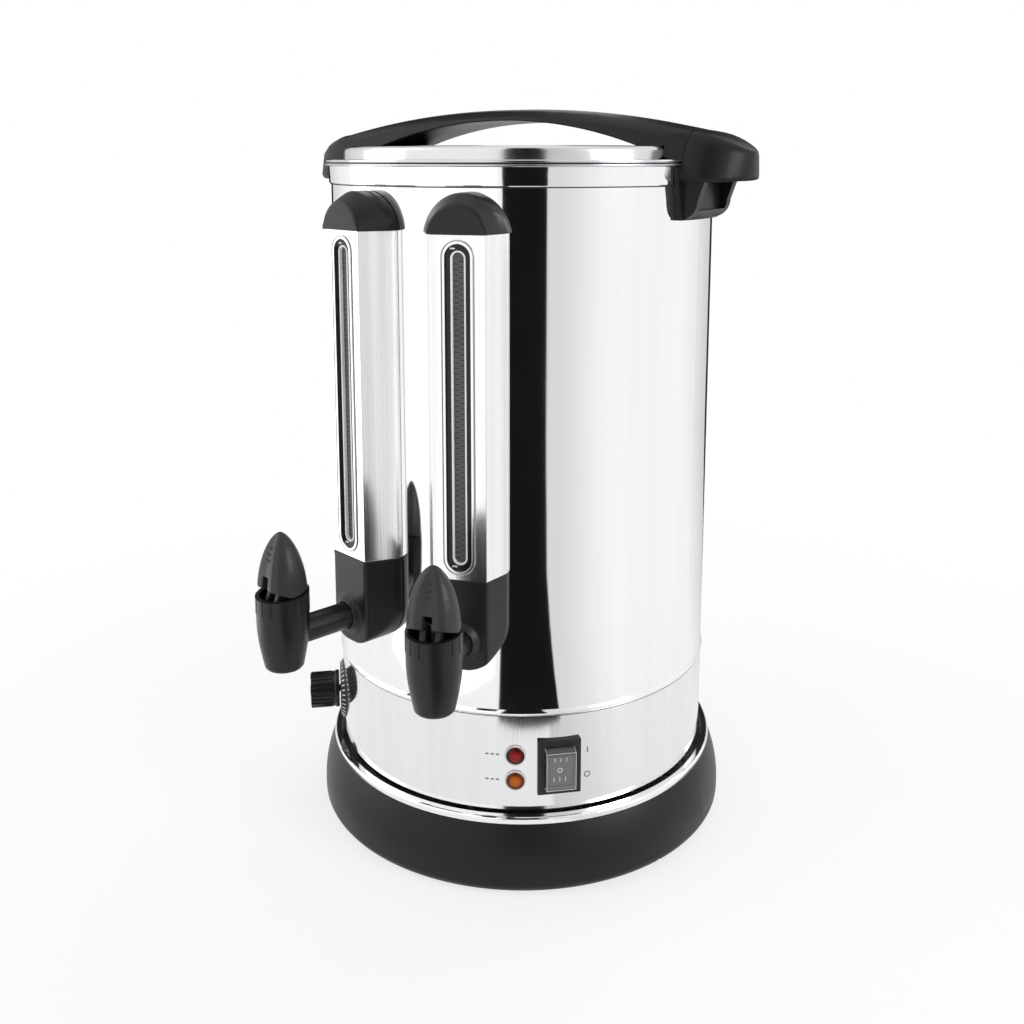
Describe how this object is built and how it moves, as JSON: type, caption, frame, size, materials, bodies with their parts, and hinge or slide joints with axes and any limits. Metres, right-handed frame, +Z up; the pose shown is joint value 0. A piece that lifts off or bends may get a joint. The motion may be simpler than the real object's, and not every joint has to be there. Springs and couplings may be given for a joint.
{
  "type": "hot water urn",
  "caption": "Free-standing hot water urn: polished steel body on a skirt, lift-off lid with arched grip, side handles, sight-glass columns over lever taps, thermostat knob and power switch.",
  "frame": {"origin": "on the table, on the upright axis of the urn's round body", "axes": "+Z is up, the taps and sight columns face -Y, and the handles lie along X"},
  "size_m": [0.3974, 0.4246, 0.5841],
  "materials": {
    "polished_steel": "mirror-polished stainless steel",
    "satin_steel": "satin stainless steel",
    "zinc_steel": "zinc-plated steel",
    "spring_steel": "drawn stainless wire",
    "element_sheath": "heat-tinted element sheath",
    "cast_aluminium": "plain aluminium plate",
    "brushed_aluminium": "upright brushed aluminium",
    "black_plastic": "satin moulded black plastic",
    "tap_plastic": "satin moulded black plastic",
    "lever_plastic": "satin moulded black plastic",
    "skirt_plastic": "matt charcoal plastic",
    "gloss_black": "glossy black plastic",
    "rocker_black": "glossy black plastic",
    "clear_vinyl": "clear soft vinyl",
    "clear_glass": "clear borosilicate glass",
    "red_lens": "red lamp lens",
    "amber_lens": "amber lamp lens",
    "white_bezel": "white plastic",
    "pale_bezel": "pale grey plastic",
    "bright_trim": "bright metal trim",
    "phenolic": "heat-resistant moulding",
    "copper": "bare copper",
    "nut_brass": "brass",
    "silicone": "translucent silicone rubber",
    "gasket_rubber": "dark silicone rubber",
    "foot_rubber": "black rubber",
    "wire_insulation": "silicone-sheathed wire"
  },
  "bodies": {
    "urn": {"base_skirt": "skirt_plastic", "base_ring": "polished_steel", "bottom_plate": "satin_steel", "feet": "foot_rubber", "base_screws": "zinc_steel", "tie_rods": "zinc_steel", "lower_housing": "polished_steel", "outer_body": "polished_steel", "top_collar": "polished_steel", "inner_tank": "satin_steel", "tank_floor": "satin_steel", "heat_spreader": "cast_aluminium", "heating_element": "element_sheath", "thermal_cutout": "phenolic", "thermostat_body": "phenolic", "thermostat_bulb": "copper", "terminal_block": "phenolic", "wiring": "wire_insulation", "cord_gland": "black_plastic", "side_handle_left": "black_plastic", "side_handle_right": "black_plastic", "handle_screws": "zinc_steel", "switch_frame": "gloss_black", "switch_boot": "clear_vinyl", "red_lamp": "red_lens", "amber_lamp": "amber_lens", "lamp_bezels": "pale_bezel", "dial_plate": "gloss_black", "column_cover_left": "brushed_aluminium", "column_cover_right": "brushed_aluminium", "column_cap_left": "black_plastic", "column_cap_right": "black_plastic", "tap_block_left": "black_plastic", "tap_block_right": "black_plastic", "sight_window_left": "gloss_black", "sight_window_right": "gloss_black", "sight_tube_left": "clear_glass", "sight_tube_right": "clear_glass", "window_bezels": "white_bezel", "silicone_seals": "silicone", "shank_nuts": "nut_brass", "tap_barrel_left": "tap_plastic", "tap_barrel_right": "tap_plastic", "tap_collar_left": "tap_plastic", "tap_collar_right": "tap_plastic", "valve_spring_left": "spring_steel", "valve_spring_right": "spring_steel"},
    "stem_left": {"valve_stem_left": "satin_steel", "valve_plug_left": "silicone"},
    "stem_right": {"valve_stem_right": "satin_steel", "valve_plug_right": "silicone"},
    "lever_left": {"tap_lever_left": "lever_plastic"},
    "lever_right": {"tap_lever_right": "lever_plastic"},
    "knob": {"thermostat_knob": "gloss_black", "knob_ring": "bright_trim"},
    "rocker": {"switch_rocker": "rocker_black"},
    "lid_seal": {"lid_gasket": "gasket_rubber"},
    "lid": {"lid_shell": "polished_steel", "lid_handle": "black_plastic", "lid_screws": "zinc_steel"}
  },
  "joints": [
    {"name": "stem_left", "type": "slide", "parent": "urn", "child": "stem_left", "axis": [0, 0, 1], "range_m": [0, 0.00223], "deforming": ["valve_spring_left"]},
    {"name": "lever_left", "type": "hinge", "parent": "stem_left", "child": "lever_left", "pos_m": [-0.06602, -0.23022, 0.241], "axis": [0.9613, -0.2756, 0], "range_deg": [0, 32], "stiffness_Nm_per_rad": 0.5, "springref_deg": -5.73},
    {"name": "stem_right", "type": "slide", "parent": "urn", "child": "stem_right", "axis": [0, 0, 1], "range_m": [0, 0.00223], "deforming": ["valve_spring_right"]},
    {"name": "lever_right", "type": "hinge", "parent": "stem_right", "child": "lever_right", "pos_m": [0.06602, -0.23022, 0.241], "axis": [0.9613, 0.2756, 0], "range_deg": [0, 32], "stiffness_Nm_per_rad": 0.5, "springref_deg": -5.73},
    {"name": "knob_turn", "type": "hinge", "parent": "urn", "child": "knob", "pos_m": [-0.1264, -0.10606, 0.095], "axis": [0.766, 0.6428, 0], "range_deg": [0, 270]},
    {"name": "rocker_tilt", "type": "hinge", "parent": "urn", "child": "rocker", "pos_m": [0.09872, -0.11558, 0.095], "axis": [0.7604, 0.6494, 0], "range_deg": [-18, 0]},
    {"name": "lid_lift", "type": "slide", "parent": "urn", "child": "lid_seal", "axis": [0, 0, 1], "range_m": [0, 0.15]},
    {"name": "lid_turn", "type": "hinge", "parent": "lid_seal", "child": "lid", "pos_m": [0, 0, 0.5435], "axis": [0, 0, 1], "continuous": true}
  ],
  "couplings": [
    {"joint": "lever_left", "follows": "stem_left", "rad_per_m": 250},
    {"joint": "lever_right", "follows": "stem_right", "rad_per_m": 250}
  ]
}
